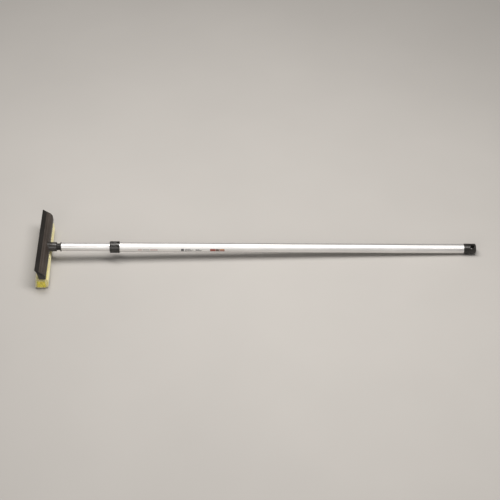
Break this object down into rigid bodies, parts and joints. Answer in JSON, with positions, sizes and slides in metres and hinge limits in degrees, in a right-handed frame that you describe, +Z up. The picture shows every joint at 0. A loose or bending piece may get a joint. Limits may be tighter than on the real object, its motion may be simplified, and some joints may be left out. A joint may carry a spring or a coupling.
{
  "type": "window squeegee",
  "caption": "Window squeegee: rubber blade and net-covered sponge on a T-shaped head, screwed to a telescopic aluminium pole with a twist lock and a hanging cap.",
  "frame": {"origin": "centre of the bounding box in plan, at the surface that the squeegee lies on (the sponge's face and the end cap)", "axes": "+X along the pole from the head to the end cap, +Y along the blade, +Z up from the sponge side to the blade side"},
  "size_m": [1.0294, 0.203, 0.063],
  "materials": {
    "outer_tube": "drawn and satin anodised, with plain printed bars",
    "inner_tube": "drawn and satin anodised",
    "collar_plastic": "ribbed black moulding",
    "cap_plastic": "ribbed black moulding",
    "head_plastic": "black moulding, glossy neck",
    "channel_plastic": "black extrusion, slightly worn",
    "blade_rubber": "black natural rubber",
    "foam": "open-cell yellow foam",
    "netting": "fine pale knitted net",
    "inner_plastic": "plain moulding",
    "plug_plastic": "black moulding",
    "steel": "zinc plated"
  },
  "bodies": {
    "outer_pole": {"outer_tube": "outer_tube", "collar": "collar_plastic", "collar_bush": "inner_plastic", "collar_pin": "steel", "end_plug": "inner_plastic", "end_cap": "cap_plastic", "cap_pin": "steel"},
    "lock_slider": {"lock_sleeve": "inner_plastic"},
    "wedge_nut": {"lock_wedge": "inner_plastic"},
    "inner_pole": {"tip_plug": "plug_plastic", "tip_pin": "steel", "inner_tube": "inner_tube", "lock_plug": "inner_plastic", "lock_plug_pin": "steel", "lock_spindle": "steel", "lock_end_nut": "steel", "head_frame": "head_plastic", "blade_channel": "channel_plastic", "rubber_blade": "blade_rubber", "blade_end_clip_near": "channel_plastic", "blade_end_clip_far": "channel_plastic", "sponge_core": "foam", "sponge_net": "netting", "sponge_backing": "inner_plastic", "backing_screws": "steel"}
  },
  "joints": [
    {"name": "pole_slide", "type": "slide", "parent": "outer_pole", "child": "lock_slider", "axis": [-0.9997, 0, 0.0263], "range_m": [-0.113, 0.54]},
    {"name": "pole_twist", "type": "hinge", "parent": "lock_slider", "child": "inner_pole", "pos_m": [0.31338, 0, 0.01719], "axis": [-0.9997, 0, 0.0263], "range_deg": [0, 270]},
    {"name": "wedge_slide", "type": "slide", "parent": "lock_slider", "child": "wedge_nut", "axis": [0.9997, 0, -0.0263], "range_m": [0, 0.0016]}
  ],
  "couplings": [
    {"joint": "wedge_slide", "follows": "pole_twist", "m_per_rad": 0.00031831}
  ]
}
